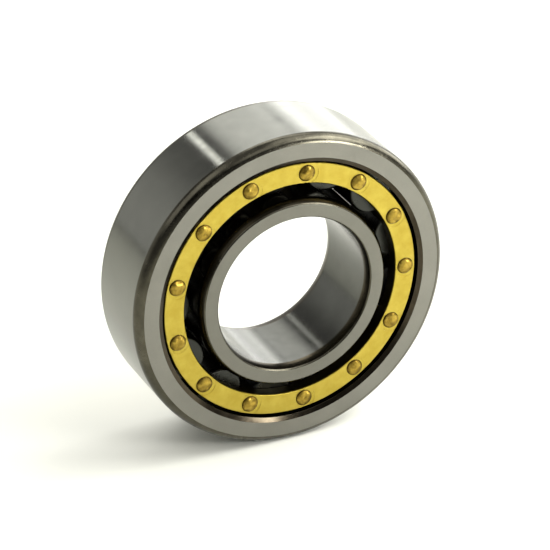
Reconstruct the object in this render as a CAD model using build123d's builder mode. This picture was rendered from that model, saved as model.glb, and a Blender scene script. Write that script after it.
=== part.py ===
"""Single-row cylindrical roller bearing, 25 x 52 x 15 mm, with a two-piece riveted brass cage.

The outer ring has two integral ribs and the inner ring is plain, so the inner ring floats axially.
The bearing axis is Y, and the origin is the centre of the outer ring. The front side, where the
rivets are headed over, faces -Y. Lengths are in millimetres and angles in degrees.
"""
from build123d import *
from math import cos, radians, sin
import os

# Boundary dimensions
bore_diameter = 25.0
outside_diameter = 52.0
ring_width = 15.0
inner_ring_shift = 0.63             # how far the floating inner ring stands proud of the front

# Rollers and raceways
roller_count = 13
roller_diameter = 7.5
roller_length = 9.0
roller_corner = 0.45
inner_raceway_radius = 15.75
running_clearance = 0.02            # radial gap between a roller and each raceway
roller_end_play = 0.03              # gap between a roller's end and each rib

# Outer ring
rib_bore_radius = 21.65
rib_lead_in_radial = 0.69
rib_lead_in_axial = 0.36
outer_corner_radial = 1.2
outer_corner_axial = 1.6
outer_corner_radius = 2.2
undercut_depth = 0.3
undercut_width = 0.6

# Inner ring
bore_corner_radial = 0.54
bore_corner_axial = 1.56
bore_corner_radius = 5.0
raceway_corner_radial = 0.735
raceway_corner_axial = 1.3
raceway_corner_radius = 5.0
face_rounding_radial = 0.2          # last part of both corners, where they turn into the side face
face_rounding_axial = 0.2
face_rounding_radius = 0.4

# Cage
cage_outer_radius = 21.285
cage_inner_radius = 17.88
cage_recess = 0.72                  # from the outer ring's side face to the cage's side face
pocket_clearance = 0.1              # radial gap between a roller and its pocket
pocket_end_play = 0.15              # gap between a roller's end and the cage
cage_edge = 0.15
rivet_angle = -0.5                  # where the first rivet lies, from +X towards +Z
spot_face_radius = 1.95
spot_face_depth = 0.04

# Rivets
rivet_circle_radius = 19.58
shank_radius = 0.55
shank_clearance = 0.02
head_radius = 1.38
peened_head_height = 0.45
peened_head_taper = 0.2
peened_head_dish = 0.07
head_edge = 0.16
set_head_height = 0.26
set_head_top_radius = 0.7
countersink_depth = 0.75

# Derived sizes
half_width = ring_width / 2
outer_radius = outside_diameter / 2
bore_radius = bore_diameter / 2
roller_radius = roller_diameter / 2
inner_face_inside = bore_radius + bore_corner_radial
inner_face_outside = inner_raceway_radius - raceway_corner_radial
pitch_radius = inner_raceway_radius + roller_radius + running_clearance
outer_raceway_radius = pitch_radius + roller_radius + running_clearance
track_half_width = roller_length / 2 + roller_end_play
cage_half_width = half_width - cage_recess
pocket_half_length = roller_length / 2 + pocket_end_play
pocket_radius = roller_radius + pocket_clearance
pitch_angle = 360 / roller_count
roller_angle = rivet_angle + pitch_angle / 2


def front_plane(y, radius=0.0, angle=0.0):
    """A plane across the bearing axis, seen from the front, with its origin at a polar place."""
    place = (radius * cos(radians(angle)), y, radius * sin(radians(angle)))
    return Plane(origin=place, x_dir=(1, 0, 0), z_dir=(0, -1, 0))


os.makedirs("parts", exist_ok=True)

# Outer ring: a band with two integral ribs, half of its section mirrored about the mid-plane
with BuildPart() as outer_ring:
    with BuildSketch(Plane.XY):
        with BuildLine():
            Polyline(
                (outer_raceway_radius, 0),
                (outer_raceway_radius, undercut_width - track_half_width),
                (outer_raceway_radius + undercut_depth, undercut_width - track_half_width),
                (outer_raceway_radius + undercut_depth, -track_half_width),
                (rib_bore_radius, -track_half_width),
                (rib_bore_radius, rib_lead_in_axial - half_width),
                (rib_bore_radius + rib_lead_in_radial, -half_width),
                (outer_radius - outer_corner_radial, -half_width),
            )
            RadiusArc(
                (outer_radius - outer_corner_radial, -half_width),
                (outer_radius, outer_corner_axial - half_width),
                -outer_corner_radius,
            )
            Line((outer_radius, outer_corner_axial - half_width), (outer_radius, 0))
            mirror(about=Plane.XZ)
        make_face()
    revolve(axis=Axis.Y)
outer_ring.part.label = "outer_ring"
export_step(outer_ring.part, "parts/outer_ring.step")

# Inner ring: a plain sleeve with a cylindrical raceway and rounded corners, shifted to the front
with BuildPart() as inner_ring:
    inner_ring_plane = Plane(origin=(0, -inner_ring_shift, 0))
    with BuildSketch(inner_ring_plane):
        with BuildLine():
            Line((bore_radius, 0), (bore_radius, bore_corner_axial - half_width))
            RadiusArc(
                (bore_radius, bore_corner_axial - half_width),
                (inner_face_inside - face_rounding_radial, face_rounding_axial - half_width),
                -bore_corner_radius,
            )
            RadiusArc(
                (inner_face_inside - face_rounding_radial, face_rounding_axial - half_width),
                (inner_face_inside, -half_width),
                -face_rounding_radius,
            )
            Line((inner_face_inside, -half_width), (inner_face_outside, -half_width))
            RadiusArc(
                (inner_face_outside, -half_width),
                (inner_face_outside + face_rounding_radial, face_rounding_axial - half_width),
                -face_rounding_radius,
            )
            RadiusArc(
                (inner_face_outside + face_rounding_radial, face_rounding_axial - half_width),
                (inner_raceway_radius, raceway_corner_axial - half_width),
                -raceway_corner_radius,
            )
            Line(
                (inner_raceway_radius, raceway_corner_axial - half_width),
                (inner_raceway_radius, 0),
            )
            mirror(about=Plane.XZ)
        make_face()
    revolve(axis=Axis.Y)
inner_ring.part.label = "inner_ring"
export_step(inner_ring.part, "parts/inner_ring.step")

# Cage body: the rear ring with one bar between each two rollers, open to the front
with BuildPart() as cage_body:
    with BuildSketch(front_plane(cage_half_width)):
        Circle(cage_outer_radius)
        Circle(cage_inner_radius, mode=Mode.SUBTRACT)
    extrude(amount=cage_half_width + pocket_half_length)
    rear_rims = cage_body.faces().sort_by(Axis.Y)[-1].edges()
    chamfer(rear_rims, length=cage_edge)
    with BuildSketch(front_plane(pocket_half_length)):
        with PolarLocations(pitch_radius, roller_count, start_angle=roller_angle):
            Circle(pocket_radius)
    extrude(amount=2 * pocket_half_length, mode=Mode.SUBTRACT)
    with BuildSketch(front_plane(cage_half_width)):
        with PolarLocations(rivet_circle_radius, roller_count, start_angle=rivet_angle):
            Circle(shank_radius + shank_clearance)
    extrude(amount=cage_half_width + pocket_half_length, mode=Mode.SUBTRACT)
    with BuildSketch(front_plane(cage_half_width)):
        with PolarLocations(rivet_circle_radius, roller_count, start_angle=rivet_angle):
            Circle(head_radius + shank_clearance)
    extrude(amount=countersink_depth, taper=45, mode=Mode.SUBTRACT)
cage_body.part.label = "cage_body"
export_step(cage_body.part, "parts/cage_body.step")

# Cage cover: the front ring, riveted to the bars, with a shallow spot face round each rivet
with BuildPart() as cage_cover:
    with BuildSketch(front_plane(-pocket_half_length)):
        Circle(cage_outer_radius)
        Circle(cage_inner_radius, mode=Mode.SUBTRACT)
    extrude(amount=cage_half_width - pocket_half_length)
    front_rims = cage_cover.faces().sort_by(Axis.Y)[0].edges()
    chamfer(front_rims, length=cage_edge)
    with BuildSketch(front_plane(spot_face_depth - cage_half_width)):
        with PolarLocations(rivet_circle_radius, roller_count, start_angle=rivet_angle):
            Circle(spot_face_radius)
    extrude(amount=spot_face_depth, mode=Mode.SUBTRACT)
    with BuildSketch(front_plane(-pocket_half_length)):
        with PolarLocations(rivet_circle_radius, roller_count, start_angle=rivet_angle):
            Circle(shank_radius + shank_clearance)
    extrude(amount=cage_half_width, mode=Mode.SUBTRACT)
    with BuildSketch(front_plane(-cage_half_width)):
        with PolarLocations(rivet_circle_radius, roller_count, start_angle=rivet_angle):
            Circle(head_radius + shank_clearance)
    extrude(amount=-countersink_depth, taper=45, mode=Mode.SUBTRACT)
cage_cover.part.label = "cage_cover"
export_step(cage_cover.part, "parts/cage_cover.step")

# Rivets: a straight shank, a domed set head at the rear and a dished, peened head at the front
for number in range(roller_count):
    angle = rivet_angle + number * pitch_angle
    centre = front_plane(0, rivet_circle_radius, angle).origin
    section_plane = Plane(origin=centre, x_dir=(1, 0, 0), z_dir=(0, 0, 1))
    with BuildPart() as rivet:
        with BuildSketch(section_plane):
            with BuildLine():
                front_dish = -cage_half_width - peened_head_height + peened_head_dish
                front_rim = -cage_half_width - peened_head_height
                top_radius = head_radius - peened_head_taper - head_edge
                ThreePointArc(
                    (0, front_dish),
                    (top_radius / 2, front_dish - peened_head_dish / 4),
                    (top_radius, front_rim),
                )
                Polyline(
                    (top_radius, front_rim),
                    (top_radius + head_edge, front_rim + head_edge),
                    (head_radius, -cage_half_width),
                    (shank_radius, countersink_depth - cage_half_width),
                    (shank_radius, cage_half_width - countersink_depth),
                    (head_radius, cage_half_width),
                    (set_head_top_radius, cage_half_width + set_head_height),
                    (0, cage_half_width + set_head_height),
                    (0, front_dish),
                )
            make_face()
        revolve(axis=Axis(origin=centre, direction=(0, 1, 0)))
    node_name = f"cage_rivet_{number + 1:02d}"
    rivet.part.label = node_name
    export_step(rivet.part, f"parts/{node_name}.step")

# Rollers: ground cylinders with rounded end corners, each midway between two rivets
for number in range(roller_count):
    angle = roller_angle + number * pitch_angle
    with BuildPart() as roller:
        with BuildSketch(front_plane(roller_length / 2, pitch_radius, angle)):
            Circle(roller_radius)
        extrude(amount=roller_length)
        fillet(roller.edges().filter_by(GeomType.CIRCLE), radius=roller_corner)
    node_name = f"roller_{number + 1:02d}"
    roller.part.label = node_name
    export_step(roller.part, f"parts/{node_name}.step")
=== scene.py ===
from math import asin, atan2, cos, pi, radians, sin, sqrt, tan

import bpy
from mathutils import Matrix, Vector, noise


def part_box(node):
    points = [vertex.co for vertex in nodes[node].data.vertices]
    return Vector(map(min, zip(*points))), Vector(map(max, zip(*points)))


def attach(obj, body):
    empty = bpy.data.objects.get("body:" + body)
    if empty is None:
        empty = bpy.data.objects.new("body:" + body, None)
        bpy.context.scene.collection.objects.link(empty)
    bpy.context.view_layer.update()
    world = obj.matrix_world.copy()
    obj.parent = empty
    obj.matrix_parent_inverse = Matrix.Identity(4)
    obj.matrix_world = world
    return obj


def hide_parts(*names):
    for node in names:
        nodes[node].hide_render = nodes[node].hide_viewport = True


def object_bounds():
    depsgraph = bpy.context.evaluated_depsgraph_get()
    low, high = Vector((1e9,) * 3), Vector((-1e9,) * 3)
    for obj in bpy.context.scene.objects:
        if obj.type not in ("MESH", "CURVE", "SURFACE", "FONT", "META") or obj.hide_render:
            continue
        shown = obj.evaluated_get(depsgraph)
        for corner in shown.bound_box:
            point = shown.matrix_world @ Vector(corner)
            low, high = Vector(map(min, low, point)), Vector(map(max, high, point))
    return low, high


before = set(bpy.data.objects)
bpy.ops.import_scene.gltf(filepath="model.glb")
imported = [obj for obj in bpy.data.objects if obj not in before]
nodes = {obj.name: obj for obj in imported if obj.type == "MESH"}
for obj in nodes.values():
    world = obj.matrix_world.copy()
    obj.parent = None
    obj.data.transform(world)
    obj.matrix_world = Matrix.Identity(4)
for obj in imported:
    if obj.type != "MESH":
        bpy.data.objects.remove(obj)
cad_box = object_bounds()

# A cylindrical roller bearing standing on its outside diameter: two ground steel rings, thirteen
# rollers and a riveted brass cage. The bearing axis is Y and the front faces -Y. Named sizes are
# millimetres and angles are degrees, except for the lights and the floor, whose sizes are metres.
# Everything built is in metres.
MM = 0.001
scene = bpy.context.scene

# --- Sizes read from the frame -------------------------------------------------------------
outer_low, outer_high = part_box("outer_ring")
inner_low, inner_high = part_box("inner_ring")
cover_low, cover_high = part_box("cage_cover")
_, body_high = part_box("cage_body")
OUTER_RADIUS = outer_high.z / MM
HALF_WIDTH = outer_high.y / MM
INNER_MIDDLE = (inner_low.y + inner_high.y) / 2 / MM
RACEWAY_RADIUS = inner_high.z / MM
CAGE_RADIUS = cover_high.z / MM
CAGE_FRONT = cover_low.y / MM
CAGE_REAR = body_high.y / MM
rivet_nodes = sorted(name for name in nodes if name.startswith("cage_rivet"))
roller_nodes = sorted(name for name in nodes if name.startswith("roller"))

# --- Sizes of the sections of the rings and the cage: radii, and lengths along the axis -----
CAGE_BORE = 17.88
BORE_RADIUS = 12.5
RIB_BORE = 21.65
RIB_FACE = 22.34
RIB_LEAD_IN = 0.36
OUTER_TRACK = 23.29
UNDERCUT = 0.3
UNDERCUT_WIDTH = 0.6
TRACK_HALF_WIDTH = 4.53
# Corners of the rings: how far each one reaches along the radius and along the axis
OUTER_CORNER = (1.2, 1.6)
BORE_CORNER = (0.54, 1.56)
TRACK_CORNER = (0.735, 1.3)
CORNER_RADIUS = 5.0
FACE_ROUNDING = 0.2
FACE_ROUNDING_RADIUS = 0.4
EDGE_BREAK = 0.05
RING_STEPS = 384
OUTER_CORNER_STEPS = 10
CORNER_STEPS = 8
ROUNDING_STEPS = 4
# A sharp corner of a section turns by more than this angle in radians, and its rounding takes at
# most this share of the runs next to it
SHARP_TURN = 0.3
RUN_SHARE = 0.4
EDGE_STEPS = 4

# --- Sizes of the rivets -------------------------------------------------------------------
HEAD_RADIUS = 1.38
HEAD_TOP_RADIUS = 1.15
HEAD_HEIGHT = 0.45
HEAD_CROWN = 0.24
HEAD_ROUNDING = 0.12
CROWN_RADIUS = 2.35
SHANK_RADIUS = 0.55
COUNTERSINK = 0.75
SET_HEAD_HEIGHT = 0.26
SET_HEAD_RADIUS = 0.7
HEAD_ROW_LENGTH = 0.16
CROWN_STEPS = 4
RIVET_STEPS = 56
# How far the hammered heads differ from round: outline as a share, dents in millimetres
OUTLINE_NOISE = 0.14
OUTLINE_LOBES = 0.02
OUTLINE_SCALE = 0.8
DENT_NOISE = 0.22
DENT_MEAN = 0.03
DENT_SCALE = 1.1
# Steps through the noise from one rivet to the next
OUTLINE_SEED = 7.3
DENT_SEED = 3.1


# --- Mesh helpers --------------------------------------------------------------------------
def arc_points(start, end, radius, steps):
    """Points on an arc that bulges to the right of the way from start to end, without start."""
    start, end = Vector(start), Vector(end)
    chord = end - start
    left = Vector((-chord.y, chord.x)).normalized()
    centre = (start + end) / 2 + left * sqrt(max(radius**2 - chord.length_squared / 4, 0.0))
    first = atan2(start.y - centre.y, start.x - centre.x)
    sweep = 2 * asin(min(1.0, chord.length / 2 / radius))
    turned = [first + sweep * step / steps for step in range(1, steps)]
    return [Vector((centre.x + radius * cos(a), centre.y + radius * sin(a))) for a in turned] + [end]


def trace(start, moves, closed=True):
    """A section as points (radius, y) and the finish of the run that starts at each point."""
    points, finishes = [Vector(start)], []
    for end, finish, *bulge in moves:
        steps = [Vector(end)] if not bulge else arc_points(points[-1], end, bulge[0], bulge[1])
        points += steps
        finishes += [finish] * len(steps)
    if closed:
        points.pop()
    return points, finishes


def break_edges(points, finishes, size, closed=True):
    """Rounds each sharp corner of a section over about size, in millimetres."""
    count = len(points)
    new_points, new_finishes = [], []
    for i, point in enumerate(points):
        ends = not closed and i in (0, count - 1)
        before, after = points[i - 1] - point, points[(i + 1) % count] - point
        turn = 0.0 if ends else pi - before.angle(after)
        if turn < SHARP_TURN:
            new_points.append(point)
            new_finishes += finishes[i : i + 1]
            continue
        cut = min(size * tan(turn / 2), RUN_SHARE * before.length, RUN_SHARE * after.length)
        one, two = point + before.normalized() * cut, point + after.normalized() * cut
        for step in range(EDGE_STEPS + 1):
            t = step / EDGE_STEPS
            new_points.append(one * (1 - t) ** 2 + point * 2 * t * (1 - t) + two * t**2)
            new_finishes.append(finishes[i - 1] if step < EDGE_STEPS else finishes[i])
    return new_points, new_finishes


def section_normals(points):
    """Normals (radial, axial) of a closed section whose outside is to the right of its way."""
    count = len(points)
    totals = [Vector((0.0, 0.0)) for _ in points]
    for i in range(count):
        run = points[(i + 1) % count] - points[i]
        for end in (i, (i + 1) % count):
            totals[end] += Vector((run.y, -run.x))
    return [total.normalized() for total in totals]


def lathe(name, section, steps, materials):
    """A closed section turned about the Y axis, with the section's own normals."""
    points, finishes = section
    normals = section_normals(points)
    around = [2 * pi * step / steps for step in range(steps)]
    vertices = [(p.x * cos(a) * MM, p.y * MM, p.x * sin(a) * MM) for a in around for p in points]
    directions = [(n.x * cos(a), n.y, n.x * sin(a)) for a in around for n in normals]
    count = len(points)
    faces = []
    for step in range(steps):
        here, there = step * count, (step + 1) % steps * count
        for i in range(count):
            j = (i + 1) % count
            faces.append((here + i, here + j, there + j, there + i))
    names = list(dict.fromkeys(finishes))
    mesh = bpy.data.meshes.new(name)
    mesh.from_pydata(vertices, [], faces)
    for finish in names:
        mesh.materials.append(materials[finish])
    mesh.polygons.foreach_set("material_index", [names.index(finish) for finish in finishes] * steps)
    mesh.polygons.foreach_set("use_smooth", [True] * len(faces))
    mesh.update()
    mesh.normals_split_custom_set_from_vertices(directions)
    piece = bpy.data.objects.new(name, mesh)
    scene.collection.objects.link(piece)
    return piece


def place(piece, body, slot, *replaced):
    """Puts a new piece on its body in place of the CAD nodes it replaces."""
    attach(piece, body)
    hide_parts(*replaced)
    return piece


# --- Material helpers ----------------------------------------------------------------------
class Finish:
    """A material whose detail comes from noise in the piece's own coordinates."""

    def __init__(self, name, metallic, **constants):
        self.material = bpy.data.materials.new(name)
        self.material.use_nodes = True
        self.tree = self.material.node_tree
        self.shader = self.tree.nodes["Principled BSDF"]
        self.shader.inputs["Metallic"].default_value = metallic
        for socket, value in constants.items():
            self.shader.inputs[socket.replace("_", " ")].default_value = value
        self.place = self.add("ShaderNodeTexCoord").outputs["Object"]

    def add(self, kind, settings=None, **inputs):
        """A node with its inputs given by name, or as i0, i1 and so on by number."""
        node = self.tree.nodes.new(kind)
        for key, value in (settings or {}).items():
            setattr(node, key, value)
        for key, value in inputs.items():
            socket = int(key[1:]) if key[1:].isdigit() else key.replace("_", " ")
            self.feed(node.inputs[socket], value)
        return node

    def feed(self, socket, value):
        if isinstance(value, bpy.types.NodeSocket):
            self.tree.links.new(value, socket)
        else:
            socket.default_value = value

    def maths(self, operation, first, second=0.0):
        return self.add("ShaderNodeMath", {"operation": operation}, i0=first, i1=second).outputs[0]

    def noise(self, scale, detail=2.0, roughness=0.5, stretch=(1, 1, 1)):
        """Noise with features about 1/scale long, in millimetres, stretched along an axis."""
        scaled = self.add(
            "ShaderNodeVectorMath",
            {"operation": "MULTIPLY"},
            i0=self.place,
            i1=[scale / MM / s for s in stretch],
        )
        texture = self.add(
            "ShaderNodeTexNoise", None, Vector=scaled.outputs[0], Scale=1.0, Detail=detail,
            Roughness=roughness,
        )
        return texture.outputs["Fac"]

    def radius(self):
        """How far each point lies from the bearing axis, in metres."""
        flat = self.add(
            "ShaderNodeVectorMath", {"operation": "MULTIPLY"}, i0=self.place, i1=(1, 0, 1)
        )
        length = self.add("ShaderNodeVectorMath", {"operation": "LENGTH"}, i0=flat.outputs[0])
        return length.outputs["Value"]

    def depth(self):
        """How far each point lies behind the bearing's middle, in metres."""
        return self.add("ShaderNodeSeparateXYZ", None, i0=self.place).outputs["Y"]

    def rings(self, scale, wander=0.15, detail=3.0):
        """Noise in fine concentric lines round the bearing axis, which fade along their way."""
        along = self.add("ShaderNodeSeparateXYZ", None, i0=self.place)
        across = self.maths("ADD", self.radius(), along.outputs["Y"])
        lines = self.add(
            "ShaderNodeCombineXYZ",
            None,
            X=self.maths("MULTIPLY", across, scale / MM),
            Y=self.maths("MULTIPLY", along.outputs["X"], wander / MM),
            Z=self.maths("MULTIPLY", along.outputs["Z"], wander / MM),
        )
        texture = self.add(
            "ShaderNodeTexNoise", None, Vector=lines.outputs[0], Scale=1.0, Detail=detail
        )
        return texture.outputs["Fac"]

    def spread(self, fac, low, high, from_low=0.3, from_high=0.7):
        """The range from_low to from_high of a value, spread over low to high."""
        node = self.add(
            "ShaderNodeMapRange", None, Value=fac, From_Min=from_low, From_Max=from_high,
            To_Min=low, To_Max=high,
        )
        return node.outputs["Result"]

    def blend(self, fac, one, two):
        node = self.add("ShaderNodeMix", {"data_type": "RGBA"}, i0=fac)
        for socket, colour in ((node.inputs[6], one), (node.inputs[7], two)):
            self.feed(socket, colour if isinstance(colour, bpy.types.NodeSocket) else (*colour, 1.0))
        return node.outputs[2]

    def gloss(self, fine, slow, roughness, fine_amount=0.03):
        """Roughness that varies a little with a fine noise and with a slow one."""
        fine_part = self.spread(fine, -fine_amount, fine_amount)
        return self.maths("ADD", fine_part, self.spread(slow, roughness - 0.02, roughness + 0.03))

    def bump(self, height, distance, normal=None):
        node = self.add("ShaderNodeBump", None, Height=height, Distance=distance * MM)
        if normal is not None:
            self.feed(node.inputs["Normal"], normal)
        return node.outputs["Normal"]

    def finish(self, colour, roughness, normal=None):
        self.feed(self.shader.inputs["Base Color"], colour)
        self.feed(self.shader.inputs["Roughness"], roughness)
        if normal is not None:
            self.feed(self.shader.inputs["Normal"], normal)
        return self.material


def shade(colour, factor):
    return tuple(channel * factor for channel in colour)


# Ground and rolled surfaces: fine lines round the ring, so gloss spreads along the axis
GROUND_STEEL = (0.165, 0.166, 0.146)
# The raceways get a very dark colour as painted shade for the inside of the bearing
TRACK_STEEL_WITH_PAINTED_SHADE = (0.065, 0.058, 0.042)
# The rollers get a nearly black colour as painted shade, where bright steel lies in the bearing's shade
ROLLER_STEEL_WITH_PAINTED_SHADE = (0.04, 0.041, 0.037)


def ground_steel(name, colour, roughness, anisotropic, line_depth):
    steel = Finish(name, 1.0, Anisotropic=anisotropic, Anisotropic_Rotation=0.25)
    tangent = steel.add("ShaderNodeTangent", {"direction_type": "RADIAL", "axis": "Y"})
    steel.feed(steel.shader.inputs["Tangent"], tangent.outputs[0])
    lines = steel.noise(6.0, 3.0, 0.6, stretch=(40, 1, 40))
    cloud = steel.noise(0.25, 3.0, 0.6)
    tint = steel.blend(steel.spread(cloud, 0, 1), shade(colour, 0.94), shade(colour, 1.06))
    return steel.finish(tint, steel.gloss(lines, cloud, roughness), steel.bump(lines, line_depth))


# Side faces: ground flat and then dull, with a fine even grain
FACE_STEEL = (0.195, 0.19, 0.167)
INNER_FACE_STEEL = (0.158, 0.154, 0.133)


def face_steel(name, colour, roughness):
    steel = Finish(name, 1.0)
    grain = steel.noise(3.5, 3.0, 0.65)
    rings = steel.rings(5.0)
    cloud = steel.noise(0.18, 3.0, 0.6)
    tint = steel.blend(steel.spread(cloud, 0, 1), shade(colour, 0.93), shade(colour, 1.07))
    normal = steel.bump(rings, 0.0016, steel.bump(grain, 0.004))
    return steel.finish(tint, steel.gloss(grain, cloud, roughness, 0.04), normal)


# Corners: left as tumbled before heat treatment, dark with a thin brown-olive scale
CORNER_SCALE = (0.072, 0.067, 0.05)
LEAD_IN_SCALE = (0.038, 0.031, 0.021)
# The inner ring's outer corners are dark scale made darker still as painted shade in the gap between
# cage and ring
INNER_CORNER_SCALE_AND_SHADE = (0.02, 0.017, 0.011)
BORE_CORNER_SCALE = (0.052, 0.044, 0.029)


def scale_steel(name, colour, roughness):
    steel = Finish(name, 1.0)
    grain = steel.noise(2.5, 2.0, 0.6)
    cloud = steel.noise(0.5, 3.0, 0.6)
    tint = steel.blend(steel.spread(cloud, 0, 1), shade(colour, 0.8), shade(colour, 1.25))
    return steel.finish(tint, steel.gloss(grain, cloud, roughness), steel.bump(grain, 0.0003))


# Cage: turned brass, slightly mottled, with painted shade that darkens its edges, its bore and its
# pockets
BRASS = (0.456, 0.356, 0.063)
BRASS_DARK = (0.38, 0.285, 0.042)
BRASS_PAINTED_SHADE = (0.046, 0.034, 0.005)
CAGE_FADE = 0.05


def turned_brass(name, roughness):
    brass = Finish(name, 1.0)
    grain = brass.noise(2.2, 3.0, 0.6)
    rings = brass.rings(3.5, 0.1)
    cloud = brass.noise(0.45, 4.0, 0.6)
    face = brass.blend(brass.spread(cloud, 0, 1, 0.35, 0.7), BRASS_DARK, BRASS)
    wobble = brass.spread(grain, -0.02 * MM, 0.02 * MM)
    radius = brass.maths("ADD", brass.radius(), wobble)
    depth = brass.maths("ADD", brass.depth(), wobble)
    fade = CAGE_FADE * MM
    edges = (
        (radius, CAGE_BORE * MM + fade, fade),
        (radius, CAGE_RADIUS * MM - fade, -fade),
        (depth, CAGE_FRONT * MM + 2 * fade, -fade),
        (depth, CAGE_REAR * MM - 2 * fade, fade),
    )
    # Painted shade: the brass turns dark near the bore and the outside rim, and on every surface
    # between the front and the rear face
    shade_masks = [brass.spread(value, 1.0, 0.0, at, at + run) for value, at, run in edges]
    inner, outer, front, rear = shade_masks
    rim_shade = brass.maths("MAXIMUM", inner, outer)
    shade_between_faces = brass.maths("MULTIPLY", front, rear)
    tint = brass.blend(brass.maths("MAXIMUM", rim_shade, shade_between_faces), face, BRASS_PAINTED_SHADE)
    gloss = brass.maths(
        "ADD", brass.spread(rings, -0.04, 0.04), brass.spread(grain, roughness - 0.03, roughness + 0.03)
    )
    normal = brass.bump(rings, 0.002, brass.bump(grain, 0.004))
    return brass.finish(tint, gloss, normal)


# Bore: honed, with a fine even grain
BORE_STEEL = (0.093, 0.094, 0.083)


def honed_steel(name, colour, roughness):
    steel = Finish(name, 1.0, Anisotropic=0.5, Anisotropic_Rotation=0.25)
    tangent = steel.add("ShaderNodeTangent", {"direction_type": "RADIAL", "axis": "Y"})
    steel.feed(steel.shader.inputs["Tangent"], tangent.outputs[0])
    grain = steel.noise(2.5, 3.0, 0.6)
    cloud = steel.noise(0.35, 3.0, 0.6)
    tint = steel.blend(steel.spread(cloud, 0, 1), shade(colour, 0.9), shade(colour, 1.1))
    return steel.finish(tint, steel.gloss(grain, cloud, roughness), steel.bump(grain, 0.002))


# Rivets: brass worked dull by the punch, with painted shade darkening the foot of each head
RIVET_DULL = (0.17, 0.11, 0.017)
RIVET_BRIGHT = (0.42, 0.295, 0.05)
RIVET_FOOT_SHADE = (0.085, 0.053, 0.009)
# The painted shade is full up to the first share of a head's height and gone at the second
FOOT_SHADE_FULL = 0.2
FOOT_SHADE_GONE = 0.65


def rivet_brass(name):
    brass = Finish(name, 1.0)
    grain = brass.noise(2.5, 3.0, 0.65)
    cloud = brass.noise(0.9, 3.0, 0.6)
    worn = brass.blend(brass.spread(cloud, 0, 1), RIVET_DULL, RIVET_BRIGHT)
    depth = brass.depth()
    uneven = brass.maths("ADD", depth, brass.spread(grain, -0.08 * MM, 0.08 * MM))
    above = (CAGE_FRONT - HEAD_HEIGHT * FOOT_SHADE_GONE) * MM
    below = (CAGE_FRONT - HEAD_HEIGHT * FOOT_SHADE_FULL) * MM
    front = brass.spread(depth, 1.0, 0.0, -MM, MM)
    # Painted shade: each head turns dark towards its foot, where the crease lies in shade
    foot_shade = brass.maths("MULTIPLY", front, brass.spread(uneven, 0.0, 1.0, above, below))
    tint = brass.blend(foot_shade, worn, RIVET_FOOT_SHADE)
    gloss = brass.maths("ADD", brass.spread(foot_shade, 0.0, 0.15, 0, 1), brass.spread(grain, 0.33, 0.43))
    return brass.finish(tint, gloss, brass.bump(grain, 0.006))


finishes = {
    "ground": ground_steel(
        "steel_ground_outside", GROUND_STEEL, roughness=0.16, anisotropic=0.85, line_depth=0.0006
    ),
    "face": face_steel("steel_side_face", FACE_STEEL, roughness=0.45),
    "inner_face": face_steel("steel_inner_side_face", INNER_FACE_STEEL, roughness=0.45),
    "corner": scale_steel("steel_dark_corner", CORNER_SCALE, roughness=0.24),
    "lead_in": scale_steel("steel_rib_edge", LEAD_IN_SCALE, roughness=0.15),
    "inner_corner": scale_steel("steel_inner_corner_scale_and_shade", INNER_CORNER_SCALE_AND_SHADE, roughness=0.2),
    "bore_corner": scale_steel("steel_bore_corner", BORE_CORNER_SCALE, roughness=0.22),
    "track": ground_steel(
        "steel_raceway_painted_shade", TRACK_STEEL_WITH_PAINTED_SHADE, roughness=0.16, anisotropic=0.5, line_depth=0.0003
    ),
    "bore": honed_steel("steel_honed_bore", BORE_STEEL, roughness=0.21),
    "roller": ground_steel(
        "steel_roller_painted_shade", ROLLER_STEEL_WITH_PAINTED_SHADE, roughness=0.28, anisotropic=0.0, line_depth=0.0003
    ),
    "brass": turned_brass("brass_turned_with_painted_shade", roughness=0.4),
    "rivet": rivet_brass("brass_rivet_with_painted_shade"),
}

# --- Rings ---------------------------------------------------------------------------------
corner_radial, corner_axial = OUTER_CORNER
corner_radius = (corner_radial**2 + corner_axial**2) / (2 * corner_radial)
undercut_end = TRACK_HALF_WIDTH - UNDERCUT_WIDTH
# Each arc as its radius and its steps
outer_arc = (corner_radius, OUTER_CORNER_STEPS)
long_arc = (CORNER_RADIUS, CORNER_STEPS)
short_arc = (FACE_ROUNDING_RADIUS, ROUNDING_STEPS)
front_half = [
    ((OUTER_TRACK, -undercut_end), "track"),
    ((OUTER_TRACK + UNDERCUT, -undercut_end), "corner"),
    ((OUTER_TRACK + UNDERCUT, -TRACK_HALF_WIDTH), "corner"),
    ((RIB_BORE, -TRACK_HALF_WIDTH), "track"),
    ((RIB_BORE, RIB_LEAD_IN - HALF_WIDTH), "track"),
    ((RIB_FACE, -HALF_WIDTH), "lead_in"),
    ((OUTER_RADIUS - corner_radial, -HALF_WIDTH), "face"),
    ((OUTER_RADIUS, corner_axial - HALF_WIDTH), "corner", *outer_arc),
    ((OUTER_RADIUS, HALF_WIDTH - corner_axial), "ground"),
]
rear_half = [
    ((OUTER_RADIUS - corner_radial, HALF_WIDTH), "corner", *outer_arc),
    ((RIB_FACE, HALF_WIDTH), "face"),
    ((RIB_BORE, HALF_WIDTH - RIB_LEAD_IN), "lead_in"),
    ((RIB_BORE, TRACK_HALF_WIDTH), "track"),
    ((OUTER_TRACK + UNDERCUT, TRACK_HALF_WIDTH), "track"),
    ((OUTER_TRACK + UNDERCUT, undercut_end), "corner"),
    ((OUTER_TRACK, undercut_end), "corner"),
    ((OUTER_TRACK, 0), "track"),
]
outer_section = break_edges(*trace((OUTER_TRACK, 0), front_half + rear_half), EDGE_BREAK)
outer = lathe("outer_ring_steel", outer_section, RING_STEPS, finishes)
place(outer, "outer_ring", "ring_steel", "outer_ring")

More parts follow.
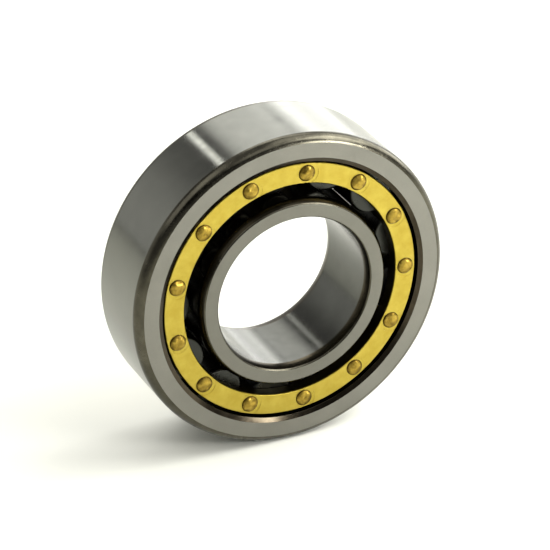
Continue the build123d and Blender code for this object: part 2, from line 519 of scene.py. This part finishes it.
bore_in, bore_deep = BORE_CORNER
track_in, track_deep = TRACK_CORNER
face_inside, face_outside = BORE_RADIUS + bore_in, RACEWAY_RADIUS - track_in
front, rear = INNER_MIDDLE - HALF_WIDTH, INNER_MIDDLE + HALF_WIDTH
inner_moves = [
    ((BORE_RADIUS, front + bore_deep), "bore"),
    ((face_inside - FACE_ROUNDING, front + FACE_ROUNDING), "bore_corner", *long_arc),
    ((face_inside, front), "corner", *short_arc),
    ((face_outside, front), "inner_face"),
    ((face_outside + FACE_ROUNDING, front + FACE_ROUNDING), "corner", *short_arc),
    ((RACEWAY_RADIUS, front + track_deep), "inner_corner", *long_arc),
    ((RACEWAY_RADIUS, rear - track_deep), "track"),
    ((face_outside + FACE_ROUNDING, rear - FACE_ROUNDING), "inner_corner", *long_arc),
    ((face_outside, rear), "corner", *short_arc),
    ((face_inside, rear), "inner_face"),
    ((face_inside - FACE_ROUNDING, rear - FACE_ROUNDING), "corner", *short_arc),
    ((BORE_RADIUS, rear - bore_deep), "bore_corner", *long_arc),
    ((BORE_RADIUS, INNER_MIDDLE), "bore"),
]
inner_section = break_edges(*trace((BORE_RADIUS, INNER_MIDDLE), inner_moves), EDGE_BREAK)
inner = lathe("inner_ring_steel", inner_section, RING_STEPS, finishes)
place(inner, "inner_ring", "ring_steel", "inner_ring")


# --- Rivets --------------------------------------------------------------------------------
def rivet(name, centre, number):
    """A rivet along Y: a hammered head at the front, a shank, and a low set head at the rear."""
    top = CAGE_FRONT - HEAD_HEIGHT
    moves = [
        ((HEAD_TOP_RADIUS, top + HEAD_CROWN), "rivet", CROWN_RADIUS, CROWN_STEPS),
        ((HEAD_RADIUS, CAGE_FRONT), "rivet"),
        ((SHANK_RADIUS, CAGE_FRONT + COUNTERSINK), "rivet"),
        ((SHANK_RADIUS, CAGE_REAR - COUNTERSINK), "rivet"),
        ((HEAD_RADIUS, CAGE_REAR), "rivet"),
        ((SET_HEAD_RADIUS, CAGE_REAR + SET_HEAD_HEIGHT), "rivet"),
        ((0.0, CAGE_REAR + SET_HEAD_HEIGHT), "rivet"),
    ]
    section = trace((0.0, top), moves, closed=False)
    points, _ = break_edges(*section, HEAD_ROUNDING, closed=False)
    dense = []
    for here, there in zip(points, points[1:]):
        on_head = here.y < CAGE_FRONT - 0.001
        pieces = max(1, round((there - here).length / HEAD_ROW_LENGTH)) if on_head else 1
        dense += [here.lerp(there, k / pieces) for k in range(pieces)]
    dense.append(points[-1])
    vertices, faces = [], []
    for point in dense[1:-1]:
        lift = max(0.0, min(1.0, (CAGE_FRONT - point.y) / HEAD_HEIGHT))
        for step in range(RIVET_STEPS):
            angle = 2 * pi * step / RIVET_STEPS
            x, z = cos(angle) * OUTLINE_SCALE, sin(angle) * OUTLINE_SCALE
            around = Vector((x, number * OUTLINE_SEED, z))
            uneven = OUTLINE_NOISE * noise.noise(around) + OUTLINE_LOBES * cos(3 * angle + number)
            radius = point.x * (1 + min(1.0, 2 * lift) * uneven)
            x, z = radius * cos(angle), radius * sin(angle)
            dent = noise.noise(Vector((x * DENT_SCALE, number * DENT_SEED, z * DENT_SCALE)))
            y = max(top, point.y + lift * (DENT_MEAN + DENT_NOISE * dent))
            vertices.append(((centre.x / MM + x) * MM, y * MM, (centre.z / MM + z) * MM))
    rows = len(dense) - 2
    for row in range(rows - 1):
        for step in range(RIVET_STEPS):
            here, beside = row * RIVET_STEPS + step, row * RIVET_STEPS + (step + 1) % RIVET_STEPS
            faces.append((here, here + RIVET_STEPS, beside + RIVET_STEPS, beside))
    for row, point, flip in ((0, dense[0], False), (rows - 1, dense[-1], True)):
        vertices.append((centre.x, point.y * MM, centre.z))
        pole = len(vertices) - 1
        for step in range(RIVET_STEPS):
            here, beside = row * RIVET_STEPS + step, row * RIVET_STEPS + (step + 1) % RIVET_STEPS
            faces.append((pole, beside, here) if flip else (pole, here, beside))
    mesh = bpy.data.meshes.new(name)
    mesh.from_pydata(vertices, [], faces)
    mesh.materials.append(finishes["rivet"])
    mesh.polygons.foreach_set("use_smooth", [True] * len(faces))
    mesh.update()
    piece = bpy.data.objects.new(name, mesh)
    scene.collection.objects.link(piece)
    return piece


for number, node_name in enumerate(rivet_nodes):
    low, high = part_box(node_name)
    piece = rivet(f"rivet_{number + 1:02d}", (low + high) / 2, number)
    place(piece, "cage", "rivet_brass", node_name)

# --- Carried-over CAD nodes ----------------------------------------------------------------
carried = {"cage_body": "brass", "cage_cover": "brass"}
carried.update({name: "roller" for name in roller_nodes})
for node_name, finish in carried.items():
    for slot in nodes[node_name].material_slots:
        slot.material = finishes[finish]

# --- Floor ---------------------------------------------------------------------------------
FLOOR_SIZE = 4.0
FLOOR_COLOUR = (0.86, 0.86, 0.79)
floor_mesh = bpy.data.meshes.new("floor")
half = FLOOR_SIZE / 2
floor_level = cad_box[0][2]
floor_mesh.from_pydata(
    [(x, y, floor_level) for x, y in ((-half, -half), (half, -half), (half, half), (-half, half))],
    [],
    [(0, 1, 2, 3)],
)
floor = bpy.data.objects.new("floor", floor_mesh)
scene.collection.objects.link(floor)
paper = Finish("floor_paper", 0.0, Specular_IOR_Level=0.1)
patches = paper.spread(paper.noise(0.01, 2.0), 0, 1)
floor_tint = paper.blend(patches, shade(FLOOR_COLOUR, 0.99), shade(FLOOR_COLOUR, 1.01))
floor_mesh.materials.append(paper.finish(floor_tint, 0.9))

# --- Camera: a long lens, from the front left and above ------------------------------------
def direction(azimuth, elevation):
    """The way from the bearing to something at an azimuth, from -Y towards +X, and an elevation."""
    turn, rise = radians(azimuth), radians(elevation)
    return Vector((sin(turn) * cos(rise), -cos(turn) * cos(rise), sin(rise)))


CAMERA_AZIMUTH = -25.72
CAMERA_ELEVATION = 28.06
CAMERA_DISTANCE = 467.7
CAMERA_LEFT = 2.83
CAMERA_UP = 2.68
LENS = 200.9
SENSOR = 36.0
back = direction(CAMERA_AZIMUTH, CAMERA_ELEVATION)
right = Vector((cos(radians(CAMERA_AZIMUTH)), sin(radians(CAMERA_AZIMUTH)), 0.0))
up = back.cross(right)
camera_data = bpy.data.cameras.new("camera")
camera_data.lens = LENS
camera_data.sensor_width = SENSOR
camera_data.clip_start = 0.01
camera_data.clip_end = 20.0
camera = bpy.data.objects.new("camera", camera_data)
scene.collection.objects.link(camera)
face_centre = Vector((0.0, outer_low.y, 0.0))
place_of_camera = face_centre + (back * CAMERA_DISTANCE - right * CAMERA_LEFT + up * CAMERA_UP) * MM
turned = Matrix((right, up, back)).transposed().to_4x4()
camera.matrix_world = Matrix.Translation(place_of_camera) @ turned
scene.camera = camera


# --- Lights --------------------------------------------------------------------------------
LAMP_COLOUR = (1.0, 1.0, 0.98)


def softbox(name, azimuth, elevation, distance, width, height, radiance, along_ring=False):
    """A softbox facing the bearing, with its azimuth from -Y towards +X and its sizes in metres.
    Its width is level, or runs round the bearing axis."""
    toward = direction(azimuth, elevation)
    across = (Vector((0, 1, 0)) if along_ring else Vector((0, 0, 1))).cross(toward).normalized()
    data = bpy.data.lights.new(name, "AREA")
    data.shape = "RECTANGLE"
    data.size, data.size_y = width, height
    data.energy = radiance * pi * width * height
    data.color = LAMP_COLOUR
    lamp = bpy.data.objects.new(name, data)
    scene.collection.objects.link(lamp)
    turned = Matrix((across, toward.cross(across), toward)).transposed().to_4x4()
    lamp.matrix_world = Matrix.Translation(toward * distance) @ turned
    lamp.visible_camera = False


# Azimuth, elevation, distance, width, height, radiance
softbox("key_right", 95, 33, 0.8, 0.55, 0.45, 5.0)
softbox("key_right_low", 100, 10, 1.0, 0.5, 0.25, 6.0)
softbox("lamp_front_right_high", 61, 41, 0.25, 0.12, 0.12, 9.0)
softbox("lamp_front_right_low", 38, 16.5, 0.3, 0.09, 0.05, 38.0)
softbox("fill_front", 20, 55, 0.9, 0.5, 0.4, 1.3)
softbox("fill_right_top", 80, 65, 0.9, 0.5, 0.4, 2.5)
softbox("fill_left_top", -90, 50, 1.0, 0.8, 0.8, 1.3)
softbox("fill_top", 60, 85, 0.9, 1.5, 1.5, 0.4)
softbox("fill_rear_top", 150, 52, 1.0, 0.6, 0.3, 3.5)
softbox("rear_right_floor", 143, -0.5, 1.2, 0.5, 0.02, 4.0)
softbox("rear_right", 142, 12, 1.2, 0.6, 0.6, 2.4, along_ring=True)
softbox("rear_right_core", 147, 18, 1.15, 0.12, 0.4, 2.2, along_ring=True)
softbox("rear", 160, 35, 1.2, 0.42, 0.6, 2.0, along_ring=True)
softbox("rear_edge", 176.5, 37, 1.2, 0.14, 0.5, 1.6, along_ring=True)
softbox("rear_strip", 187, 33.5, 1.2, 0.055, 0.17, 7.0, along_ring=True)

# Room: a faint glow near the horizon and a stronger one behind the bearing, both weaker higher up
world = bpy.data.worlds.new("room")
scene.world = world
world.use_nodes = True
tree = world.node_tree
background = tree.nodes["Background"]
coordinates = tree.nodes.new("ShaderNodeTexCoord")
split = tree.nodes.new("ShaderNodeSeparateXYZ")
tree.links.new(coordinates.outputs["Generated"], split.inputs[0])


def world_range(value, from_low, from_high, to_low, to_high):
    node = tree.nodes.new("ShaderNodeMapRange")
    node.interpolation_type = "SMOOTHSTEP"
    tree.links.new(value, node.inputs["Value"])
    ends = {"From Min": from_low, "From Max": from_high, "To Min": to_low, "To Max": to_high}
    for socket, end in ends.items():
        node.inputs[socket].default_value = end
    return node.outputs["Result"]


def world_maths(operation, first, second):
    node = tree.nodes.new("ShaderNodeMath")
    node.operation = operation
    tree.links.new(first, node.inputs[0])
    tree.links.new(second, node.inputs[1])
    return node.outputs[0]


height, distance_back = split.outputs["Z"], split.outputs["Y"]
low_down = world_range(height, from_low=0.2, from_high=0.5, to_low=0.25, to_high=0.0)
behind = world_range(distance_back, from_low=-0.2, from_high=0.6, to_low=0.0, to_high=0.62)
behind_low = world_range(height, from_low=0.35, from_high=0.65, to_low=1.0, to_high=0.25)
rear_glow = world_maths("MULTIPLY", behind, behind_low)
tree.links.new(world_maths("ADD", low_down, rear_glow), background.inputs["Strength"])
background.inputs["Color"].default_value = (1.0, 1.0, 0.97, 1.0)

scene.view_settings.view_transform = "Standard"
